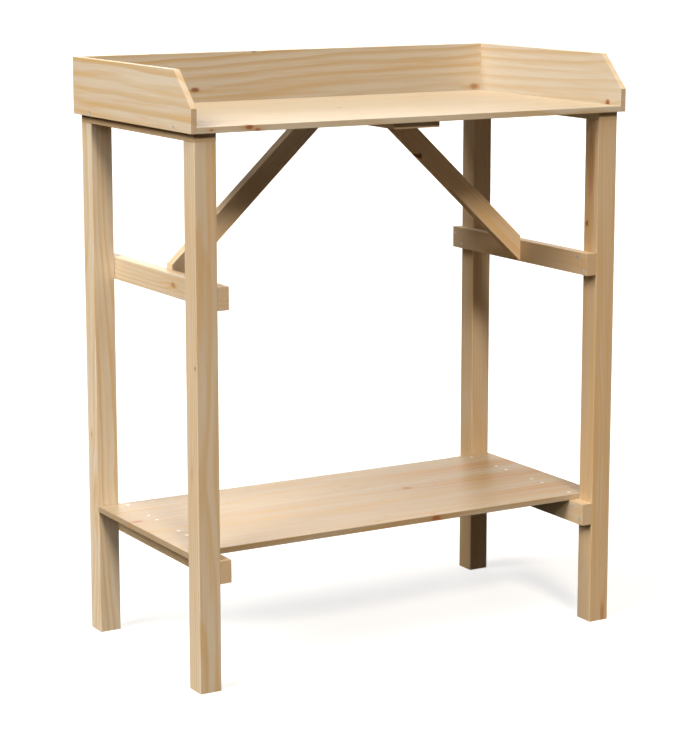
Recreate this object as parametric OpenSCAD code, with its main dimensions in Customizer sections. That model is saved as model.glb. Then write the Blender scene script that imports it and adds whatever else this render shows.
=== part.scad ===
// Potting bench: four square legs tied by cross rails, a boarded worktop with
// a raised tray edge on three sides, two diagonal braces and a boarded shelf.
// Origin: on the floor, at the middle of the bench. Front faces -Y, width runs along X.

/* [Frame] */
// Width over the outer faces of the legs
frame_w = 808; // [640:1:1100]
// Depth over the outer faces of the legs
frame_d = 422; // [340:1:600]
// Length of a leg
leg_h = 887; // [720:1:1100]
// Side of the square legs
leg_s = 38; // [32:1:50]
// Thickness of the rails that lie on top of the legs
top_rail_t = 14; // [11:1:24]
// Thickness of the middle and lower cross rails
rail_t = 20; // [16:1:26]
// Height of the middle and lower cross rails
rail_h = 38; // [32:1:50]
// Height of the underside of the lower rails above the floor
lower_rail_z = 178; // [100:1:260]
// Distance from the underside of the middle rails up to the worktop
middle_rail_drop = 280; // [200:1:340]

/* [Boards] */
// Thickness of every board in the worktop, the tray and the shelf
board_t = 10; // [8:1:16]
// How far the worktop stands out in front of the legs
top_overhang = 10; // [0:1:30]
// Height of the back board and of the side boards
tray_h = 96; // [70:1:140]
// Size of the 45 degree cut at the front corner of a side board
corner_cut = 57; // [30:1:60]
// Width of the batten under the middle of the worktop
batten_w = 88; // [60:1:120]
// Thickness of the batten
batten_t = 10; // [8:1:16]

/* [Braces] */
// Width of a diagonal brace, square to its length
brace_w = 34; // [28:1:45]
// Thickness of a diagonal brace, front to back
brace_t = 20; // [16:1:30]

/* [Screws] */
// Radius of a screw's shank
screw_r = 1.75; // [1.5:0.05:2.25]
// Radius of the flat countersunk head
head_r = 3.4; // [3:0.1:4.5]
// Height of the head's cone
head_h = 2; // [1.5:0.1:3]
// How deep a screw bites into a leg
leg_bite = 25; // [18:1:28]
// How deep a screw bites into a board's edge, a rail's edge or a rail's face
board_bite = 20; // [12:1:26]
// Wood left over a screw tip that stops inside a board
tip_cover = 2; // [1:0.5:4]

/* [Fits] */
// Gap between neighbouring boards
board_gap = 0.2; // [0.1:0.1:2]
// Gap between the shelf and the legs, and between a brace and the batten
fit_gap = 0.5; // [0.2:0.1:2]
// Gap around a screw in its hole
hole_gap = 0.1; // [0.05:0.05:0.3]

/* [Hidden] */
$fn = 32;
cut = 1;

// The three tones of the pine
PINE_LIGHT = [0.93, 0.86, 0.74];
PINE = [0.87, 0.76, 0.60];
PINE_SHADE = [0.78, 0.66, 0.50];
ZINC = [0.80, 0.81, 0.83];

// Frame
half_w = frame_w / 2;
half_d = frame_d / 2;
leg_x = half_w - leg_s / 2;
leg_y = half_d - leg_s / 2;
rail_x = half_w - leg_s - rail_t / 2;
rail_face_x = rail_x - rail_t / 2;

// Worktop: its underside and its top, its front edge and its back edge
top_z = leg_h + top_rail_t;
top_front_y = -half_d - top_overhang;
top_back_y = half_d;
middle_rail_z = top_z - middle_rail_drop;

// Boards, three to the worktop and three to the shelf
BOARDS = 3;
top_pitch = (top_back_y - top_front_y) / BOARDS;
shelf_d = frame_d - 2 * leg_s - 2 * fit_gap;
shelf_pitch = shelf_d / BOARDS;
shelf_z = lower_rail_z + rail_h;

// Braces: the slope runs from the foot of the middle rail to the batten's edge
brace_tip_x = batten_w / 2 + fit_gap;
brace_run = rail_face_x - brace_tip_x;
brace_angle = atan(middle_rail_drop / brace_run);
brace_foot = brace_w / cos(brace_angle);
brace_head = brace_w / sin(brace_angle);

// Screws: the lengths, and their places along each joint
rail_screw_l = rail_t + leg_bite;
leg_top_screw_l = top_rail_t + leg_bite;
board_screw_l = board_t + board_bite;
worktop_screw_l = top_rail_t + board_t - tip_cover;
batten_screw_l = batten_t + board_t - tip_cover;
tip_l = 2 * screw_r;
rail_screw_shift = leg_s * 0.26;
rail_screw_rise = rail_h / 4;
shelf_screw_inset = 16;
side_screw_inset = leg_s + 13;
back_screw_pitch = frame_w / 4;
// Seats of the brace screws, sunk until the whole head is below the sloping face
seat_sink = 0.5;
foot_screw_z = middle_rail_z + rail_h / 2;
foot_seat_x = rail_face_x - (rail_h / 2 - head_r) / tan(brace_angle) + seat_sink;
foot_screw_l = rail_face_x - foot_seat_x + rail_t - 3 * tip_cover;
head_screw_x = brace_tip_x + brace_head * 0.36;
head_seat_z = top_z - (head_screw_x - head_r - brace_tip_x) * tan(brace_angle) + seat_sink;
head_screw_l = top_z - head_seat_z + board_t - tip_cover;

function top_board_y(i) = top_front_y + (i + 0.5) * top_pitch;
function shelf_board_y(i) = -shelf_d / 2 + (i + 0.5) * shelf_pitch;
// Ends of the stretch of worktop board i that is clear of the legs below
function clear_from(i) = max(top_board_y(i) - top_pitch / 2, -half_d + leg_s);
function clear_to(i) = min(top_board_y(i) + top_pitch / 2, half_d - leg_s);

// ---- Screws and their holes ----

// A countersunk screw: flat of the head at the origin, shank along -Z
module screw(l) {
    rotate([180, 0, 0]) {
        cylinder(h = head_h, r1 = head_r, r2 = screw_r);
        translate([0, 0, head_h]) cylinder(h = l - head_h - tip_l, r = screw_r);
        translate([0, 0, l - tip_l]) cylinder(h = tip_l, r1 = screw_r, r2 = screw_r / 8);
    }
}

// The hole such a screw sits in, open at the head's flat and reaching past its tip
module screw_hole(l) {
    slope = (head_r - screw_r) / head_h;
    rotate([180, 0, 0]) {
        translate([0, 0, -cut])
            cylinder(h = head_h + cut, r1 = head_r + hole_gap + cut * slope, r2 = screw_r + hole_gap);
        cylinder(h = l + hole_gap, r = screw_r + hole_gap);
    }
}

// The hole of a brace screw, with a straight pocket of length l_pocket over the head
module pocket_hole(l, l_pocket) {
    screw_hole(l);
    cylinder(h = l_pocket, r = head_r + hole_gap);
}

// ---- Places of the screws ----

module both_sides() {
    children();
    mirror([1, 0, 0]) children();
}

// Right-hand rail with its underside at height z: two screws at each end, set diagonally
module at_rail_screws(z) {
    for (end = [-1, 1], s = [-1, 1])
        translate([rail_face_x, end * leg_y + s * rail_screw_shift, z + rail_h / 2 + s * rail_screw_rise])
            rotate([0, -90, 0]) children();
}

module at_leg_top_screws() {
    for (end = [-1, 1])
        translate([leg_x, end * leg_y, top_z]) children();
}

module at_shelf_screws() {
    for (i = [0 : BOARDS - 1], s = [-1, 1])
        translate([rail_x, shelf_board_y(i) + s * (shelf_pitch / 2 - shelf_screw_inset), shelf_z + board_t])
            children();
}

module at_worktop_screws() {
    for (i = [0 : BOARDS - 1], t = [0.25, 0.75])
        translate([leg_x, clear_from(i) + t * (clear_to(i) - clear_from(i)), leg_h])
            rotate([180, 0, 0]) children();
}

module at_batten_screws() {
    for (i = [0 : BOARDS - 1], s = [-1, 1])
        translate([s * batten_w / 4, top_board_y(i), top_z - batten_t])
            rotate([180, 0, 0]) children();
}

// Right-hand side board: two screws into the ends of the worktop boards
module at_side_board_screws() {
    for (s = [-1, 1])
        translate([half_w + board_t, s * (half_d - side_screw_inset), top_z + board_t / 2])
            rotate([0, 90, 0]) children();
}

module at_back_board_screws() {
    for (i = [-1.5 : 1 : 1.5])
        translate([i * back_screw_pitch, half_d + board_t, top_z + board_t / 2])
            rotate([-90, 0, 0]) children();
}

// Right-hand brace: one screw through its foot, one through its head
module at_brace_foot_screw() {
    translate([foot_seat_x, 0, foot_screw_z]) rotate([0, -90, 0]) children();
}

module at_brace_head_screw() {
    translate([head_screw_x, 0, head_seat_z]) rotate([180, 0, 0]) children();
}

// ---- Frame ----

// The leg at the right-hand side, end = -1 at the front and 1 at the back
module right_leg(end) {
    color(PINE) difference() {
        translate([leg_x - leg_s / 2, end * leg_y - leg_s / 2, 0]) cube([leg_s, leg_s, leg_h]);
        at_rail_screws(middle_rail_z) screw_hole(rail_screw_l);
        at_rail_screws(lower_rail_z) screw_hole(rail_screw_l);
        at_leg_top_screws() screw_hole(leg_top_screw_l);
    }
}

module right_top_rail() {
    color(PINE_SHADE) difference() {
        translate([leg_x - leg_s / 2, -half_d, leg_h]) cube([leg_s, frame_d, top_rail_t]);
        at_leg_top_screws() screw_hole(leg_top_screw_l);
        at_worktop_screws() screw_hole(worktop_screw_l);
    }
}

// A cross rail on the inner faces of the right-hand legs, its underside at height z
module right_cross_rail(z) {
    translate([rail_face_x, -half_d, z]) cube([rail_t, frame_d, rail_h]);
}

module right_middle_rail() {
    color(PINE) difference() {
        right_cross_rail(middle_rail_z);
        at_rail_screws(middle_rail_z) screw_hole(rail_screw_l);
        at_brace_foot_screw() screw_hole(foot_screw_l);
    }
}

module right_lower_rail() {
    color(PINE) difference() {
        right_cross_rail(lower_rail_z);
        at_rail_screws(lower_rail_z) screw_hole(rail_screw_l);
        at_shelf_screws() screw_hole(board_screw_l);
    }
}

// A brace from the foot of the middle rail up to the worktop, beside the batten
module right_brace() {
    color(PINE_SHADE) difference() {
        translate([0, brace_t / 2, 0]) rotate([90, 0, 0]) linear_extrude(brace_t) polygon([
            [rail_face_x, middle_rail_z],
            [rail_face_x, middle_rail_z + brace_foot],
            [brace_tip_x + brace_head, top_z],
            [brace_tip_x, top_z]]);
        at_brace_foot_screw() pocket_hole(foot_screw_l, brace_w);
        at_brace_head_screw() pocket_hole(head_screw_l, brace_w);
    }
}

module batten() {
    color(PINE_SHADE) difference() {
        translate([-batten_w / 2, -half_d, top_z - batten_t]) cube([batten_w, frame_d, batten_t]);
        at_batten_screws() screw_hole(batten_screw_l);
    }
}

// ---- Worktop, tray and shelf ----

// Worktop board i, counted from the front
module top_board(i) {
    from_y = top_board_y(i) - top_pitch / 2 + (i > 0 ? board_gap / 2 : 0);
    to_y = top_board_y(i) + top_pitch / 2 - (i < BOARDS - 1 ? board_gap / 2 : 0);
    color(PINE_LIGHT) difference() {
        translate([-half_w, from_y, top_z]) cube([frame_w, to_y - from_y, board_t]);
        at_batten_screws() screw_hole(batten_screw_l);
        at_back_board_screws() screw_hole(board_screw_l);
        both_sides() {
            at_worktop_screws() screw_hole(worktop_screw_l);
            at_side_board_screws() screw_hole(board_screw_l);
            at_brace_head_screw() screw_hole(head_screw_l);
        }
    }
}

// Shelf board i, counted from the front
module shelf_board(i) {
    from_y = shelf_board_y(i) - shelf_pitch / 2 + (i > 0 ? board_gap / 2 : 0);
    to_y = shelf_board_y(i) + shelf_pitch / 2 - (i < BOARDS - 1 ? board_gap / 2 : 0);
    color(PINE_LIGHT) difference() {
        translate([-half_w, from_y, shelf_z]) cube([frame_w, to_y - from_y, board_t]);
        both_sides() at_shelf_screws() screw_hole(board_screw_l);
    }
}

module tray_back() {
    color(PINE_LIGHT) difference() {
        translate([-half_w, half_d, top_z]) cube([frame_w, board_t, tray_h]);
        at_back_board_screws() screw_hole(board_screw_l);
    }
}

// The side board at the right-hand end, with its front top corner cut off
module right_side_board() {
    color(PINE_LIGHT) difference() {
        translate([half_w, 0, 0]) rotate([90, 0, 90]) linear_extrude(board_t) polygon([
            [top_front_y, top_z],
            [half_d + board_t, top_z],
            [half_d + board_t, top_z + tray_h],
            [top_front_y + corner_cut, top_z + tray_h],
            [top_front_y, top_z + tray_h - corner_cut]]);
        at_side_board_screws() screw_hole(board_screw_l);
    }
}

// ---- Nodes ----

module leg_front_right() { right_leg(-1); }
module leg_back_right() { right_leg(1); }
module leg_front_left() { mirror([1, 0, 0]) right_leg(-1); }
module leg_back_left() { mirror([1, 0, 0]) right_leg(1); }
module top_rail_right() { right_top_rail(); }
module top_rail_left() { mirror([1, 0, 0]) right_top_rail(); }
module middle_rail_right() { right_middle_rail(); }
module middle_rail_left() { mirror([1, 0, 0]) right_middle_rail(); }
module lower_rail_right() { right_lower_rail(); }
module lower_rail_left() { mirror([1, 0, 0]) right_lower_rail(); }
module centre_batten() { batten(); }
module brace_right() { right_brace(); }
module brace_left() { mirror([1, 0, 0]) right_brace(); }
module top_board_front() { top_board(0); }
module top_board_middle() { top_board(1); }
module top_board_back() { top_board(2); }
module shelf_board_front() { shelf_board(0); }
module shelf_board_middle() { shelf_board(1); }
module shelf_board_back() { shelf_board(2); }
module back_board() { tray_back(); }
module side_board_right() { right_side_board(); }
module side_board_left() { mirror([1, 0, 0]) right_side_board(); }
module leg_top_screws() { color(ZINC) both_sides() at_leg_top_screws() screw(leg_top_screw_l); }
module middle_rail_screws() { color(ZINC) both_sides() at_rail_screws(middle_rail_z) screw(rail_screw_l); }
module lower_rail_screws() { color(ZINC) both_sides() at_rail_screws(lower_rail_z) screw(rail_screw_l); }
module shelf_screws() { color(ZINC) both_sides() at_shelf_screws() screw(board_screw_l); }
module worktop_screws() { color(ZINC) both_sides() at_worktop_screws() screw(worktop_screw_l); }
module batten_screws() { color(ZINC) at_batten_screws() screw(batten_screw_l); }
module side_board_screws() { color(ZINC) both_sides() at_side_board_screws() screw(board_screw_l); }
module back_board_screws() { color(ZINC) at_back_board_screws() screw(board_screw_l); }
module brace_screws() {
    color(ZINC) both_sides() {
        at_brace_foot_screw() screw(foot_screw_l);
        at_brace_head_screw() screw(head_screw_l);
    }
}

leg_front_left();
leg_front_right();
leg_back_left();
leg_back_right();
top_rail_left();
top_rail_right();
middle_rail_left();
middle_rail_right();
lower_rail_left();
lower_rail_right();
centre_batten();
brace_left();
brace_right();
top_board_front();
top_board_middle();
top_board_back();
shelf_board_front();
shelf_board_middle();
shelf_board_back();
back_board();
side_board_left();
side_board_right();
leg_top_screws();
middle_rail_screws();
lower_rail_screws();
shelf_screws();
worktop_screws();
batten_screws();
side_board_screws();
back_board_screws();
brace_screws();
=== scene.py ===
"""Potting bench: eased pine pieces with year rings, fibres and knots, and zinc-plated countersunk screws."""
import math
import random
from collections import namedtuple

import bmesh
import bpy
from mathutils import Euler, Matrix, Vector


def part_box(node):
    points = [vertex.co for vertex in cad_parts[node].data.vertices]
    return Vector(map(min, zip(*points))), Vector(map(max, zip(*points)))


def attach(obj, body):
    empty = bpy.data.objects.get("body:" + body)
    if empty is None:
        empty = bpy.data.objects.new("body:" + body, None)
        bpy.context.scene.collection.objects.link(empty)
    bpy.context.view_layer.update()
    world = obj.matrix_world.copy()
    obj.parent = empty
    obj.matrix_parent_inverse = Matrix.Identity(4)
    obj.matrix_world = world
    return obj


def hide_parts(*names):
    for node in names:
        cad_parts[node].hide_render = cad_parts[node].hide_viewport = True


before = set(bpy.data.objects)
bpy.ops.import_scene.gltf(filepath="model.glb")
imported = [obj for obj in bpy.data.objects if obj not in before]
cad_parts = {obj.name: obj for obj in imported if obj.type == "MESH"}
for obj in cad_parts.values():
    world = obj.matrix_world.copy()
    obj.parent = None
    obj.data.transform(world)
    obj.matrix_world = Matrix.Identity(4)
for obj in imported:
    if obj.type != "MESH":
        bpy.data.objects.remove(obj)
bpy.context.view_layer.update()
MM = 0.001


# ---- Node trees ----

class Value:
    """One socket of a node tree. Arithmetic on it adds Math nodes."""

    def __init__(self, graph, socket):
        self.graph = graph
        self.socket = socket

    def math(self, operation, *others):
        return self.graph.math(operation, self, *others)

    def __add__(self, other):
        return self.math("ADD", other)

    def __sub__(self, other):
        return self.math("SUBTRACT", other)

    def __mul__(self, other):
        return self.math("MULTIPLY", other)

    def __truediv__(self, other):
        return self.math("DIVIDE", other)

    def __rsub__(self, other):
        return self.graph.math("SUBTRACT", other, self)

    def __rtruediv__(self, other):
        return self.graph.math("DIVIDE", other, self)

    __radd__ = __add__
    __rmul__ = __mul__

    def ramp(self, low, high, start=0.0, end=1.0, kind="LINEAR"):
        """Runs from start, where the value is low, to end, where it is high, and stays between them."""
        sockets = {"Value": self, 1: low, 2: high, 3: start, 4: end}
        return self.graph.node("ShaderNodeMapRange", {"interpolation_type": kind}, sockets)

    def smooth(self, low, high, start=0.0, end=1.0):
        """As ramp, but easing in and out."""
        return self.ramp(low, high, start, end, "SMOOTHSTEP")


class Graph:
    """A node tree that is built by calls."""

    def __init__(self, tree):
        self.tree = tree

    def node(self, kind, settings=None, sockets=None, output=0):
        """Adds a node: its settings first, then the values or links of its sockets."""
        made = self.tree.nodes.new(kind)
        for key, setting in (settings or {}).items():
            setattr(made, key, setting)
        for key, value in (sockets or {}).items():
            self.feed(made.inputs[key], value)
        return Value(self, made.outputs[output])

    def feed(self, socket, value):
        if isinstance(value, Value):
            self.tree.links.new(value.socket, socket)
        else:
            socket.default_value = value

    def math(self, operation, *values):
        return self.node("ShaderNodeMath", {"operation": operation}, dict(enumerate(values)))

    def vector(self, x, y, z=0.0):
        return self.node("ShaderNodeCombineXYZ", None, {0: x, 1: y, 2: z})

    def parts(self, vector):
        return [self.node("ShaderNodeSeparateXYZ", None, {0: vector}, i) for i in range(3)]

    def length(self, x, y, z=0.0):
        return self.node("ShaderNodeVectorMath", {"operation": "LENGTH"}, {0: self.vector(x, y, z)}, 1)

    def mix(self, factor, first, second):
        return self.node("ShaderNodeMix", {"data_type": "RGBA"}, {0: factor, 6: first, 7: second}, 2)

    def noise(self, vector, seed, detail=2.0, roughness=0.5):
        """Smooth noise around 0.5, with features about one unit of the vector across."""
        sockets = {"Vector": vector, "W": seed, "Scale": 1.0, "Detail": detail, "Roughness": roughness}
        return self.node("ShaderNodeTexNoise", {"noise_dimensions": "4D"}, sockets)


def material_graph(name):
    """A new material and the graph of its shader."""
    material = bpy.data.materials.new(name)
    material.use_nodes = True
    return material, Graph(material.node_tree)


def shade(material, graph, **sockets):
    """Sets sockets of the material's shader, such as Base_Color."""
    shader = material.node_tree.nodes["Principled BSDF"]
    for key, value in sockets.items():
        graph.feed(shader.inputs[key.replace("_", " ")], value)
    return material


# ---- Pine ----

# A knot: its place on the bench in mm, its radius in mm, how many times longer it is along the grain
# than across, how red it and its surroundings are and how dark its heart is, both from 0 to 1, and
# the axis the branch ran along. A knot with no dark heart is only its red halo, and the wide ones of
# that kind on the shelf paint shade
Knot = namedtuple("Knot", "place radius stretch red dark axis")
# How a piece was cut from its log: the turn that lays its grain along X, the log's centre line seen in
# the piece's cross-section (mm across and through it), the drift of that line in mm over a metre, the
# width of a year ring in mm, how strong the rings are, how warm, how streaky and how bright the wood is,
# and its knots. The brightness is partly the wood's own and partly painted light: it darkens the shelf
# and worktop, whose tops take more light, and lightens the shaded braces
Cut = namedtuple("Cut", "turn centre drift ring strength warm streaks bright knots")

ALONG_X = (0.0, 0.0, 0.0)
ALONG_Y = (0.0, 0.0, -90.0)
ALONG_Z = (0.0, 90.0, 0.0)
UP = (0, 0, 1)
FRONT = (0, 1, 0)
SIDE = (1, 0, 0)

PALE_WOOD = (0.63, 0.562, 0.458)
WARM_WOOD = (0.54, 0.385, 0.230)
LATEWOOD = (0.55, 0.375, 0.175)
ORANGE_WOOD = (0.60, 0.385, 0.155)
END_GRAIN = (0.49, 0.360, 0.225)
# The red around knots, also used as painted shade on the shelf's right end
RED_HALO_AND_PAINTED_SHADE = (0.53, 0.270, 0.085)
KNOT_BROWN = (0.19, 0.080, 0.028)
KNOT_RED = (0.27, 0.065, 0.018)
# How deep under the surface a knot still shows, in mm
KNOT_DEPTH = 30.0
# How far a knot pushes the rings aside, for every mm of its radius
KNOT_BULGE = 1.1
# How much longer than the knot its red halo is along the grain, and how much wider across it
HALO_LENGTH = 4.0
HALO_WIDTH = 1.7
# How far the log's centre line strays and the rings ripple, in mm to both sides
WANDER = 15.0
RIPPLE = 2.0
# How far apart the seeds of two pieces are, so that no two pieces share a pattern
SEED_STEP = 3.7


def radians(angles):
    return [math.radians(angle) for angle in angles]


def toned(colour, bright=1.0):
    """A colour socket's value: the colour made that much brighter."""
    return (*(part * bright for part in colour), 1.0)


def pine(name, cut, seed):
    """Planed pine: year rings round the log's centre line, fibres, and knots that push the rings aside."""
    material, graph = material_graph(name + "_pine")
    turn = Euler(radians(cut.turn)).to_matrix()
    low, high = BOXES[name]
    middle = turn @ ((low + high) / 2)
    place = graph.node("ShaderNodeTexCoord", None, None, 3)
    local = graph.node("ShaderNodeMapping", None, {
        "Vector": place, "Location": -middle, "Rotation": radians(cut.turn)})
    along, across, through = (part / MM for part in graph.parts(local))

    def grainy(length, width, number, detail=2.0, roughness=0.5):
        """Noise whose features are that long along the grain and that wide across it, in mm."""
        spot = graph.vector(along / length, across / width, through / width)
        return graph.noise(spot, seed + number, detail, roughness)

    # The log's centre line wanders, so the rings come to the surface in long waves and arches
    wander = (grainy(420.0, 130.0, 0.0) - 0.5) * (2 * WANDER)
    sway = (grainy(420.0, 130.0, 7.3) - 0.5) * (2 * WANDER)
    ripple = (grainy(130.0, 34.0, 3.1) - 0.5) * (2 * RIPPLE)
    from_centre = graph.length(
        across - cut.centre[0] - along * (cut.drift[0] / 1000) + wander,
        through - cut.centre[1] - along * (cut.drift[1] / 1000) + sway)
    phase = (from_centre + ripple) / cut.ring

    # How far from each knot a point is: 1 at the knot's rim, and 1 at the rim of its halo
    rough = grainy(9.0, 5.0, 11.9) - 0.5
    marks = []
    for knot in cut.knots:
        spot = turn @ Vector(knot.place) - middle / MM
        axis = turn @ Vector(knot.axis)
        beside, below = across - spot.y, through - spot.z
        if abs(axis.y) > 0.5:
            beside, below = below, beside
        beyond = along - spot.x
        deep = below / KNOT_DEPTH
        reach = knot.radius * knot.stretch
        rim = graph.length(beyond / reach, beside / knot.radius, deep) + rough * 0.7
        halo = graph.length(beyond / (reach * HALO_LENGTH), beside / (knot.radius * HALO_WIDTH), deep)
        if knot.dark > 0.0:
            phase = phase + halo.smooth(0.0, 1.6, KNOT_BULGE * knot.radius / cut.ring, 0.0)
        marks.append((knot, rim, halo))

    # One year ring: pale at first, then darkening slowly, and ending sharply
    season = phase.math("FRACT")
    late = season.smooth(0.30, 0.82) * season.smooth(0.88, 1.0, 1.0, 0.0)
    number = phase.math("FLOOR") + seed
    year = graph.node("ShaderNodeTexWhiteNoise", {"noise_dimensions": "1D"}, {"W": number})
    late = late * year.ramp(0.0, 1.0, 0.3, 1.0)

    # Fibres and resin streaks run along the grain; the tone drifts over the piece
    fibre = grainy(42.0, 0.9, 1.7, 2.0, 0.6)
    streak = grainy(260.0, 9.0, 5.9, 2.0, 0.55)
    tone = grainy(300.0, 60.0, 9.4, 1.0)
    warmth = tone.smooth(0.3, 0.7, -0.16, 0.16) + streak.smooth(0.35, 0.7, -0.08, 0.2) + cut.warm
    # Every colour is scaled by the piece's brightness, which holds painted light and shade besides the wood's
    # own tone
    pale, warm, latewood, orange, sawn = (
        toned(wood, cut.bright) for wood in (PALE_WOOD, WARM_WOOD, LATEWOOD, ORANGE_WOOD, END_GRAIN))
    colour = graph.mix(warmth.ramp(0.0, 1.0), pale, warm)
    colour = graph.mix(late * (0.85 * cut.strength), colour, latewood)
    colour = graph.mix(streak.smooth(0.50, 0.72, 0.0, 0.8 * cut.streaks), colour, orange)
    colour = graph.mix(fibre.smooth(0.35, 0.7, 0.0, 0.2), colour, latewood)

    # Sawn ends show the open tubes of the wood, and hold a little dirt
    normal = graph.node("ShaderNodeNewGeometry", None, None, 1)
    grain = turn.transposed() @ Vector((1.0, 0.0, 0.0))
    facing = graph.node("ShaderNodeVectorMath", {"operation": "DOT_PRODUCT"}, {0: normal, 1: grain}, 1)
    end = facing.math("ABSOLUTE").smooth(0.6, 0.9)
    pores = grainy(2.0, 0.6, 2.2)
    colour = graph.mix(end * pores.smooth(0.2, 0.8, 0.35, 0.75), colour, sawn)

    dents = late * 0.5 + fibre * 0.5
    for knot, rim, halo in marks:
        heart = toned(red * knot.red + brown * (1 - knot.red) for red, brown in zip(KNOT_RED, KNOT_BROWN))
        # Each knot's red halo; the wide heartless ones on the shelf are painted shade
        halo_and_painted_shade = halo.smooth(0.05, 1.0, 0.75 * knot.red, 0.0) * streak.smooth(0.3, 0.6, 0.35, 1.0)
        colour = graph.mix(halo_and_painted_shade, colour, toned(RED_HALO_AND_PAINTED_SHADE, cut.bright))
        colour = graph.mix(rim.smooth(0.45, 1.35, knot.dark, 0.0), colour, heart)
        dents = dents + rim.smooth(0.8, 1.05, 0.4, 0.0)

    bump = graph.node("ShaderNodeBump", None, {"Strength": 0.35, "Distance": 0.25 * MM, "Height": dents})
    return shade(material, graph, Base_Color=colour, Roughness=0.46 + fibre * 0.16 - late * 0.06,
                 Specular_IOR_Level=0.3, Normal=bump)


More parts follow.
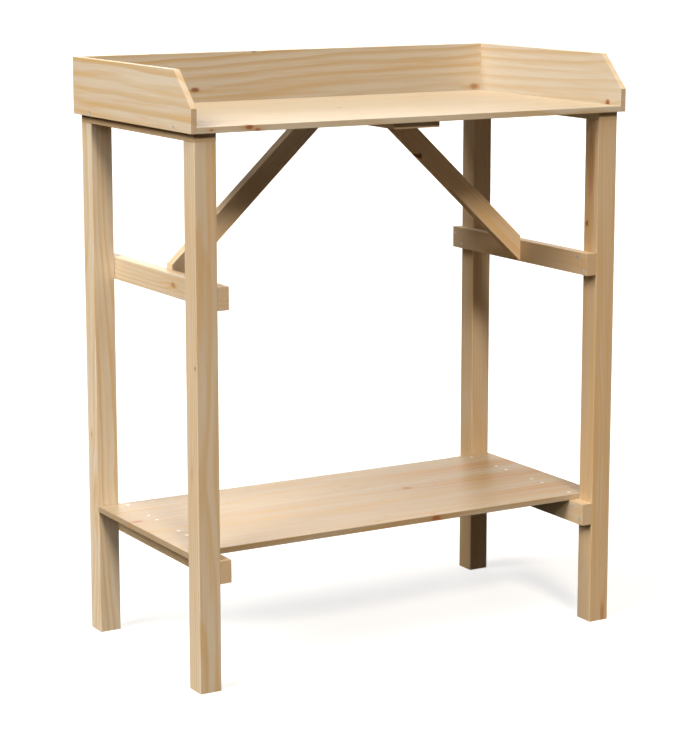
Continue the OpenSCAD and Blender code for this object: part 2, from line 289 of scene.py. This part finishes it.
# The next-to-last number of each cut, its brightness, is partly painted light: the shelf (0.72) and worktop
# (0.86) are darkened because more light falls on their tops, and the braces (1.2, 1.3) are lightened
CUTS = {
    "leg_front_left": Cut(ALONG_Z, (46, 20), (14, -22), 7.0, 0.9, 0.3, 0.7, 1.0, [
        Knot((-404, -205, 532), 3, 1.2, 0.3, 0.6, SIDE), Knot((-404, -190, 360), 5, 3.0, 0.3, 0.12, SIDE)]),
    "leg_front_right": Cut(ALONG_Z, (30, 44), (8, 10), 5.5, 0.9, 0.75, 0.5, 1.03, [
        Knot((366, -182, 708), 4.5, 1.3, 0.6, 1.0, SIDE), Knot((366, -190, 815), 10, 6.0, 1.0, 0.35, SIDE),
        Knot((393, -211, 14), 4, 5.0, 0.9, 0.35, FRONT)]),
    "leg_back_left": Cut(ALONG_Z, (26, -38), (-26, 14), 7.0, 0.8, 0.0, 0.5, 1.03, [
        Knot((-404, 196, 350), 3, 1.4, 0.4, 0.3, SIDE), Knot((-404, 188, 240), 6, 3.0, 0.4, 0.12, SIDE)]),
    "leg_back_right": Cut(ALONG_Z, (-34, 40), (10, 18), 6.0, 0.8, 0.6, 0.4, 1.0, []),
    "top_rail_left": Cut(ALONG_Y, (40, -30), (10, 0), 5.0, 0.8, 1.0, 0.3, 1.0, []),
    "top_rail_right": Cut(ALONG_Y, (-40, -30), (10, 0), 5.0, 0.8, 1.0, 0.3, 1.0, []),
    "middle_rail_left": Cut(ALONG_Y, (10, 40), (20, 10), 7.0, 1.0, 0.25, 1.0, 1.05, [
        Knot((-366, -54, 641), 5, 1.6, 0.6, 0.45, SIDE)]),
    "middle_rail_right": Cut(ALONG_Y, (-12, -34), (16, 8), 6.0, 0.8, 0.8, 0.3, 1.05, []),
    "lower_rail_left": Cut(ALONG_Y, (20, 30), (-12, 8), 6.0, 0.9, 0.75, 0.3, 1.1, []),
    "lower_rail_right": Cut(ALONG_Y, (24, -36), (14, 8), 6.0, 0.8, 0.5, 0.3, 1.1, []),
    "centre_batten": Cut(ALONG_Y, (20, -40), (14, 10), 6.0, 0.8, 0.67, 0.3, 1.0, []),
    "brace_left": Cut((0.0, 42.9, 0.0), (8, -34), (14, 10), 6.0, 1.0, 0.5, 0.5, 1.2, []),
    "brace_right": Cut((0.0, -42.9, 0.0), (-10, -36), (14, 10), 6.0, 1.0, 0.58, 0.6, 1.3, [
        Knot((132, -10, 821), 5, 1.2, 0.2, 0.9, FRONT)]),
    "top_board_front": Cut(ALONG_X, (120, -50), (30, 10), 13.0, 1.0, -0.35, 0.45, 0.86, [
        Knot((-313, -221, 908), 4, 1.7, 0.8, 0.8, FRONT), Knot((-298, -221, 903), 3, 1.6, 0.8, 0.7, FRONT),
        Knot((-379, -221, 906), 2, 1.8, 0.7, 0.6, FRONT),
        Knot((-385, -180, 911), 9, 2.0, 0.4, 0.3, UP)]),
    "top_board_middle": Cut(ALONG_X, (-110, -50), (-20, 10), 13.0, 1.0, -0.35, 0.45, 0.86, [
        Knot((-27, -8, 911), 4.5, 1.3, 0.3, 0.7, UP), Knot((-75, 5, 911), 2.5, 2.0, 0.1, 0.3, UP),
        Knot((75, 10, 911), 2.5, 2.0, 0.1, 0.3, UP)]),
    "top_board_back": Cut(ALONG_X, (100, -50), (20, -10), 13.0, 1.0, -0.35, 0.45, 0.86, []),
    # The wide heartless knots at the shelf's right end are no knots: their red halos are painted shade, the
    # darker and oranger wood under the worktop's shadow
    "shelf_board_front": Cut(ALONG_X, (24, -46), (-22, 20), 12.0, 1.0, 0.5, 0.8, 0.72, [
        Knot((68, -172.5, 220), 6, 1.5, 0.9, 0.7, FRONT), Knot((-40, -157, 226), 3, 1.5, 0.4, 0.3, UP),
        Knot((-11, -136, 226), 3, 1.5, 0.4, 0.25, UP), Knot((360, -110, 226), 26, 3.0, 1.0, 0.0, UP)]),
    "shelf_board_middle": Cut(ALONG_X, (6, -34), (10, 26), 12.0, 1.0, 0.5, 1.1, 0.72, [
        Knot((124, 14, 226), 7, 1.2, 0.7, 1.0, UP), Knot((-390, 46, 226), 7, 1.6, 1.0, 0.75, UP),
        Knot((187, 20, 226), 3, 1.3, 0.6, 0.6, UP), Knot((335, 4, 226), 30, 3.0, 1.0, 0.0, UP)]),
    "shelf_board_back": Cut(ALONG_X, (-30, -50), (16, 18), 12.0, 1.0, 0.5, 1.0, 0.72, [
        Knot((37, 84, 226), 3, 1.5, 0.5, 0.35, UP), Knot((7, 68, 226), 3, 1.5, 0.5, 0.25, UP),
        Knot((370, 96, 226), 26, 3.0, 1.0, 0.0, UP)]),
    "back_board": Cut(ALONG_X, (50, -80), (0, 40), 14.0, 1.0, 0.08, 0.5, 0.99, [
        Knot((-189, 211, 933), 4.5, 1.9, 0.35, 0.85, FRONT), Knot((-73, 211, 996), 3, 1.6, 0.4, 0.4, FRONT),
        Knot((390, 211, 918), 6, 1.4, 0.9, 0.5, FRONT)]),
    "side_board_left": Cut(ALONG_Y, (-50, 110), (0, 30), 19.0, 1.0, 0.22, 0.6, 1.0, []),
    "side_board_right": Cut(ALONG_Y, (50, -120), (0, -20), 16.0, 0.8, 0.0, 0.3, 0.97, [
        Knot((404, -183, 914), 5.5, 1.2, 0.8, 0.9, SIDE)]),
}
BOXES = {name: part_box(name) for name in CUTS}


# ---- Where the screws are ----

def islands(work):
    """The separate solids of a mesh, each as a list of its points."""
    waiting = set(work.verts)
    while waiting:
        reached = [waiting.pop()]
        for vertex in reached:
            for edge in vertex.link_edges:
                other = edge.other_vert(vertex)
                if other in waiting:
                    waiting.remove(other)
                    reached.append(other)
        yield [vertex.co.copy() for vertex in reached]


def screw_places(node):
    """For each screw of a CAD node: the middle of its head's flat, the way the head faces, and its length."""
    work = bmesh.new()
    work.from_mesh(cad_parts[node].data)
    bmesh.ops.remove_doubles(work, verts=work.verts, dist=MERGED)
    places = []
    for points in islands(work):
        low = Vector(min(point[i] for point in points) for i in range(3))
        high = Vector(max(point[i] for point in points) for i in range(3))
        run = max(range(3), key=lambda i: high[i] - low[i])
        middle = (low + high) / 2
        wide = max(points, key=lambda point: max(abs(point[i] - middle[i]) for i in range(3) if i != run))
        facing = 1.0 if wide[run] > middle[run] else -1.0
        axis = Vector(facing if i == run else 0.0 for i in range(3))
        seat = middle.copy()
        seat[run] = high[run] if facing > 0 else low[run]
        places.append((seat, axis, round(high[run] - low[run], 5)))
    work.free()
    return places


# ---- Timber pieces ----

# How wide the eased edges are: along the grain, the same on thin boards, at sawn ends, and where
# two pieces butt
EASED = 1.1 * MM
EASED_BOARD = 0.5 * MM
SAWN = 0.3 * MM
BUTTED = 0.12 * MM
# A board is thinner than this, and pieces closer than this touch
THIN = 12 * MM
TOUCHING = 0.5 * MM
# The holes fit the screws with this gap; a brace screw's hole opens upwards into a long pocket
HEAD_RADIUS = 3.4 * MM
HEAD_HEIGHT = 2.0 * MM
SHANK_RADIUS = 1.75 * MM
HOLE_GAP = 0.1 * MM
HOLE_SIDES = 24
POCKET = 34 * MM
# Parts of its length at which a screw is tried for being inside a piece
TRIED = [part / 10 for part in range(1, 10)]
# Two points closer than this are one
MERGED = 0.001 * MM
SCREWS = {node: screw_places(node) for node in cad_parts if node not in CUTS}
SCREW_PLACES = [place for places in SCREWS.values() for place in places]


def screw_holes(name):
    """The holes that a piece's screws need, as one object to cut away, or None."""
    low, high = BOXES[name]
    work = bmesh.new()
    for seat, axis, length in SCREW_PLACES:
        steps = [seat - axis * (length * part) for part in TRIED]
        if not any(all(l < p < h for l, p, h in zip(low, step, high)) for step in steps):
            continue
        # Rings of the hole's wall from the mouth down: how far below the head's flat, and how wide
        mouth = POCKET if name.startswith("brace") else HOLE_GAP
        wall = [(-mouth, HEAD_RADIUS + HOLE_GAP), (0.0, HEAD_RADIUS + HOLE_GAP),
                (HEAD_HEIGHT, SHANK_RADIUS + HOLE_GAP), (length + HOLE_GAP, SHANK_RADIUS + HOLE_GAP)]
        turn = axis.to_track_quat("Z", "X")
        rings = []
        for depth, radius in wall:
            angles = [math.tau * i / HOLE_SIDES for i in range(HOLE_SIDES)]
            circle = [Vector((radius * math.cos(a), radius * math.sin(a), -depth)) for a in angles]
            rings.append([work.verts.new(seat + turn @ point) for point in circle])
        for upper, lower in zip(rings, rings[1:]):
            for i in range(HOLE_SIDES):
                j = (i + 1) % HOLE_SIDES
                work.faces.new((upper[i], upper[j], lower[j], lower[i]))
        work.faces.new(rings[0])
        work.faces.new(rings[-1][::-1])
    if not work.faces:
        work.free()
        return None
    bmesh.ops.recalc_face_normals(work, faces=work.faces)
    mesh = bpy.data.meshes.new(name + "_drill")
    work.to_mesh(mesh)
    work.free()
    drill = bpy.data.objects.new(name + "_drill", mesh)
    bpy.context.scene.collection.objects.link(drill)
    return drill


def hand_over(piece, node):
    """Puts a finished piece in the scene in the place of its CAD node."""
    bpy.context.scene.collection.objects.link(piece)
    # The worktop throws no light on the boards round it, which keeps the tray's corners soft and clear
    piece.visible_diffuse = not node.startswith("top_board")
    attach(piece, "root")
    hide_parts(node)


def touches_another(name, point):
    """Whether a point of one piece lies against another piece of timber."""
    for other, (low, high) in BOXES.items():
        if other != name and all(l - TOUCHING < p < h + TOUCHING for l, p, h in zip(low, point, high)):
            return True
    return False


def outer_shape(name):
    """The CAD piece without its screw holes: every timber here is convex."""
    work = bmesh.new()
    work.from_mesh(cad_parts[name].data)
    weight = work.edges.layers.float.new("bevel_weight_edge")
    bmesh.ops.remove_doubles(work, verts=work.verts, dist=MERGED)
    hull = bmesh.ops.convex_hull(work, input=work.verts)
    inside = [item for item in hull["geom_interior"] if isinstance(item, bmesh.types.BMVert)]
    bmesh.ops.delete(work, geom=inside, context="VERTS")
    kept = {face for face in hull["geom"] if isinstance(face, bmesh.types.BMFace)}
    bmesh.ops.delete(work, geom=[face for face in work.faces if face not in kept], context="FACES")
    bmesh.ops.dissolve_limit(work, angle_limit=math.radians(0.5), verts=work.verts, edges=work.edges)
    bmesh.ops.recalc_face_normals(work, faces=work.faces)
    return work, weight


def timber(name, seed):
    """A CAD piece with its long edges eased by the plane, its sawn ends crisp and its butted edges tight."""
    cut = CUTS[name]
    grain = Euler(radians(cut.turn)).to_matrix().transposed() @ Vector((1.0, 0.0, 0.0))
    planed = EASED_BOARD if min(high - low for low, high in zip(*BOXES[name])) < THIN else EASED
    work, weight = outer_shape(name)
    for edge in work.edges:
        first, last = (vertex.co for vertex in edge.verts)
        lengthwise = abs((last - first).normalized().dot(grain)) > 0.95
        ease = planed if lengthwise else SAWN
        if touches_another(name, (first + last) / 2):
            ease = BUTTED
        edge[weight] = ease / EASED
    mesh = bpy.data.meshes.new(name + "_blank")
    work.to_mesh(mesh)
    work.free()
    blank = bpy.data.objects.new(name + "_blank", mesh)
    bpy.context.scene.collection.objects.link(blank)
    bevel = blank.modifiers.new("eased_edges", "BEVEL")
    bevel.limit_method = "WEIGHT"
    bevel.width = EASED
    bevel.segments = 3
    drill = screw_holes(name)
    if drill:
        holes = blank.modifiers.new("screw_holes", "BOOLEAN")
        holes.operation = "DIFFERENCE"
        holes.solver = "EXACT"
        holes.object = drill
    finished = bpy.data.meshes.new_from_object(blank.evaluated_get(bpy.context.evaluated_depsgraph_get()))
    finished.name = name + "_wood"
    for spare in (blank, drill):
        if spare:
            bpy.data.objects.remove(spare)
    finished.materials.clear()
    finished.materials.append(pine(name, cut, seed))
    hand_over(bpy.data.objects.new(name + "_wood", finished), name)


# ---- Screws ----

# How many spots the zinc has to a metre
ZINC_SPOTS = 900.0


def zinc():
    """Zinc plating, a little uneven and dulled."""
    material, graph = material_graph("zinc_plating")
    place = graph.node("ShaderNodeTexCoord", None, None, 3)
    fine = graph.node("ShaderNodeVectorMath", {"operation": "SCALE"}, {0: place, "Scale": ZINC_SPOTS})
    spots = graph.noise(fine, 1.0)
    colour = graph.mix(spots, (0.62, 0.62, 0.64, 1.0), (0.78, 0.78, 0.80, 1.0))
    return shade(material, graph, Base_Color=colour, Metallic=0.6, Roughness=spots * 0.2 + 0.30)


def screw_tree():
    """A countersunk wood screw with a cross recess and a thread, at every point, along its axis attribute."""
    tree = bpy.data.node_groups.new("countersunk_screws", "GeometryNodeTree")
    tree.interface.new_socket("Geometry", in_out="INPUT", socket_type="NodeSocketGeometry")
    labels = ("Length", "Head Radius", "Head Height", "Shank Radius", "Core Radius", "Pitch", "Recess Depth")
    for label in labels:
        tree.interface.new_socket(label, in_out="INPUT", socket_type="NodeSocketFloat")
    tree.interface.new_socket("Material", in_out="INPUT", socket_type="NodeSocketMaterial")
    tree.interface.new_socket("Geometry", in_out="OUTPUT", socket_type="NodeSocketGeometry")
    graph = Graph(tree)
    given = tree.nodes.new("NodeGroupInput").outputs
    length, head, head_height, shank, core, pitch, recess = (Value(graph, given[label]) for label in labels)
    body = graph.node("GeometryNodeMeshCylinder", None, {
        "Vertices": 24, "Side Segments": 64, "Fill Segments": 9, "Radius": 1.0, "Depth": length})
    x, y, z = graph.parts(graph.node("GeometryNodeInputPosition"))
    depth = length * 0.5 - z

    # From the head down: cone, plain shank, thread, point
    turns = graph.math("ARCTAN2", y, x) / math.tau
    wave = graph.math("PINGPONG", depth / pitch + turns, 0.5) * 2.0
    thread = core + (shank - core) * wave
    stem = shank + (thread - shank) * depth.ramp(length * 0.30, length * 0.34)
    cone = depth.ramp(0.0, head_height, head, shank)
    below = depth.ramp(head_height * 0.999, head_height)
    point = depth.ramp(length - shank * 2.0, length, 1.0, 0.12)
    girth = (cone * (1.0 - below) + stem * below) * point

    # The cross recess sinks the middle of the head's flat
    reach_x = x.math("ABSOLUTE") * head
    reach_y = y.math("ABSOLUTE") * head
    near = reach_x.math("MINIMUM", reach_y)
    far = reach_x.math("MAXIMUM", reach_y)
    arm = near.ramp(head * 0.10, head * 0.22, 1.0, 0.0) * far.ramp(head * 0.42, head * 0.60, 1.0, 0.0)
    sunk = arm * recess * depth.ramp(0.0, 0.01 * MM, 1.0, 0.0)
    moved = graph.vector(x * girth, y * girth, 0.0 - depth - sunk)
    body = graph.node("GeometryNodeSetPosition", None, {"Geometry": body, "Position": moved})

    axis, spin = (graph.node("GeometryNodeInputNamedAttribute", {"data_type": kind}, {"Name": name})
                  for name, kind in (("axis", "FLOAT_VECTOR"), ("spin", "FLOAT")))
    upright = graph.node("FunctionNodeAlignRotationToVector", {"axis": "Z"}, {"Vector": axis})
    spun = graph.node("FunctionNodeAxisAngleToRotation", None, {"Axis": (0.0, 0.0, 1.0), "Angle": spin})
    turned = graph.node("FunctionNodeRotateRotation", {"rotation_space": "LOCAL"}, {0: upright, 1: spun})
    made = graph.node("GeometryNodeInstanceOnPoints", None, {
        "Points": Value(graph, given["Geometry"]), "Instance": body, "Rotation": turned})
    made = graph.node("GeometryNodeRealizeInstances", None, {"Geometry": made})
    made = graph.node("GeometryNodeSetMaterial", None, {
        "Geometry": made, "Material": Value(graph, given["Material"])})
    graph.feed(tree.nodes.new("NodeGroupOutput").inputs[0], made)
    return tree


def screws(node, tree, material, chance):
    """The screws of a CAD node as one piece: points with their axes, made solid by the geometry tree."""
    work = bmesh.new()
    for length in sorted({place[2] for place in SCREWS[node]}):
        chosen = [place for place in SCREWS[node] if place[2] == length]
        mesh = bpy.data.meshes.new(node + "_points")
        mesh.from_pydata([seat for seat, axis, run in chosen], [], [])
        for label, kind, key, values in (
                ("axis", "FLOAT_VECTOR", "vector", [part for seat, axis, run in chosen for part in axis]),
                ("spin", "FLOAT", "value", [chance.uniform(0.0, math.pi) for place in chosen])):
            mesh.attributes.new(label, kind, "POINT").data.foreach_set(key, values)
        holder = bpy.data.objects.new(node + "_points", mesh)
        bpy.context.scene.collection.objects.link(holder)
        modifier = holder.modifiers.new("screws", "NODES")
        modifier.node_group = tree
        sizes = {**SCREW_SIZES, "Length": length, "Material": material}
        for item in tree.interface.items_tree:
            if item.name in sizes:
                modifier[item.identifier] = sizes[item.name]
        solid = bpy.data.meshes.new_from_object(holder.evaluated_get(bpy.context.evaluated_depsgraph_get()))
        work.from_mesh(solid)
        bpy.data.objects.remove(holder)
        bpy.data.meshes.remove(solid)
    mesh = bpy.data.meshes.new(node + "_threaded")
    work.to_mesh(mesh)
    work.free()
    mesh.materials.append(material)
    hand_over(bpy.data.objects.new(node + "_threaded", mesh), node)


SCREW_SIZES = {"Head Radius": 3.2 * MM, "Head Height": HEAD_HEIGHT, "Shank Radius": SHANK_RADIUS,
               "Core Radius": 1.2 * MM, "Pitch": 1.8 * MM, "Recess Depth": 1.3 * MM}
for count, name in enumerate(CUTS):
    timber(name, SEED_STEP * count)
chance = random.Random(11)
tree = screw_tree()
plating = zinc()
for node in SCREWS:
    screws(node, tree, plating, chance)


# ---- Floor, light and camera ----

def floor():
    """A wide pale floor, which the bench shades but which throws no light back up at it."""
    material, graph = material_graph("pale_floor")
    shade(material, graph, Base_Color=(0.44, 0.44, 0.44, 1.0), Roughness=0.9, Specular_IOR_Level=0.1,
          Emission_Color=(1.0, 1.0, 1.0, 1.0), Emission_Strength=0.70)
    mesh = bpy.data.meshes.new("studio_floor")
    corners = [(x * FLOOR_SIZE, y * FLOOR_SIZE, -FLOOR_GAP) for x, y in ((-1, -1), (1, -1), (1, 1), (-1, 1))]
    mesh.from_pydata(corners, [], [(0, 1, 2, 3)])
    mesh.materials.append(material)
    plane = bpy.data.objects.new("studio_floor", mesh)
    plane.visible_diffuse = False
    plane.visible_glossy = False
    bpy.context.scene.collection.objects.link(plane)


def away(azimuth, elevation):
    """The direction from the bench to what stands at that angle from its front and that angle up."""
    a, e = math.radians(azimuth), math.radians(elevation)
    return Vector((math.sin(a) * math.cos(e), -math.cos(a) * math.cos(e), math.sin(e)))


def light(name, azimuth, elevation, width, colour):
    """A far light from that direction, as wide as that angle, with its brightness in its colour."""
    lamp = bpy.data.lights.new(name, "SUN")
    brightest = max(colour)
    lamp.energy = math.pi * brightest
    lamp.color = [part / brightest for part in colour]
    lamp.angle = math.radians(width)
    source = bpy.data.objects.new(name, lamp)
    source.rotation_euler = away(azimuth, elevation).to_track_quat("Z", "Y").to_euler()
    bpy.context.scene.collection.objects.link(source)


def backdrop():
    """Light from above to be reflected, a dark ground, and a white wall far off that only the camera sees."""
    world = bpy.data.worlds.new("studio")
    bpy.context.scene.world = world
    world.use_nodes = True
    graph = Graph(world.node_tree)
    height = graph.parts(graph.node("ShaderNodeTexCoord"))[2]
    sky = graph.mix(height.smooth(0.2, 0.6), (0.02, 0.016, 0.012, 1.0), (1.0, 1.0, 1.0, 1.0))
    graph.feed(world.node_tree.nodes["Background"].inputs["Color"], sky)
    world.cycles_visibility.diffuse = False
    material, graph = material_graph("white_wall")
    shade(material, graph, Base_Color=(0.0, 0.0, 0.0, 1.0), Specular_IOR_Level=0.0,
          Emission_Color=(1.0, 1.0, 1.0, 1.0), Emission_Strength=1.0)
    work = bmesh.new()
    bmesh.ops.create_icosphere(work, subdivisions=4, radius=FLOOR_SIZE)
    mesh = bpy.data.meshes.new("white_wall")
    work.to_mesh(mesh)
    work.free()
    mesh.materials.append(material)
    wall = bpy.data.objects.new("white_wall", mesh)
    wall.visible_diffuse = wall.visible_glossy = wall.visible_shadow = False
    bpy.context.scene.collection.objects.link(wall)


def camera(azimuth, elevation, distance, aim, lens, shift):
    """A camera that far from the point it aims at, standing at that angle from the bench."""
    data = bpy.data.cameras.new("studio_camera")
    data.lens = lens
    data.shift_y = shift
    data.clip_end = 2 * FLOOR_SIZE
    eye = bpy.data.objects.new("studio_camera", data)
    eye.location = Vector(aim) + distance * away(azimuth, elevation)
    eye.rotation_euler = away(azimuth, elevation).to_track_quat("Z", "Y").to_euler()
    bpy.context.scene.collection.objects.link(eye)
    bpy.context.scene.camera = eye


# Far enough for the horizon to look level, and near enough for every view's camera to see it
FLOOR_SIZE = 55.0
FLOOR_GAP = 0.2 * MM
bpy.context.scene.view_settings.view_transform = "Standard"
floor()
backdrop()
light("key_light", -15, 39, 12, (0.735, 0.645, 0.53))
light("window_light", -84, 45, 40, (1.40, 1.315, 1.20))
light("low_front_light", -50, 6, 30, (0.10, 0.085, 0.07))
light("right_fill", 45, 30, 60, (0.05, 0.03, 0.015))
light("low_back_light", 160, 8, 30, (0.42, 0.40, 0.38))
light("low_right_light", 106, 8, 30, (0.42, 0.40, 0.38))
camera(-30.47, 10.32, 4.028, (0.0, 0.003, 0.512), 111.74, -0.05)
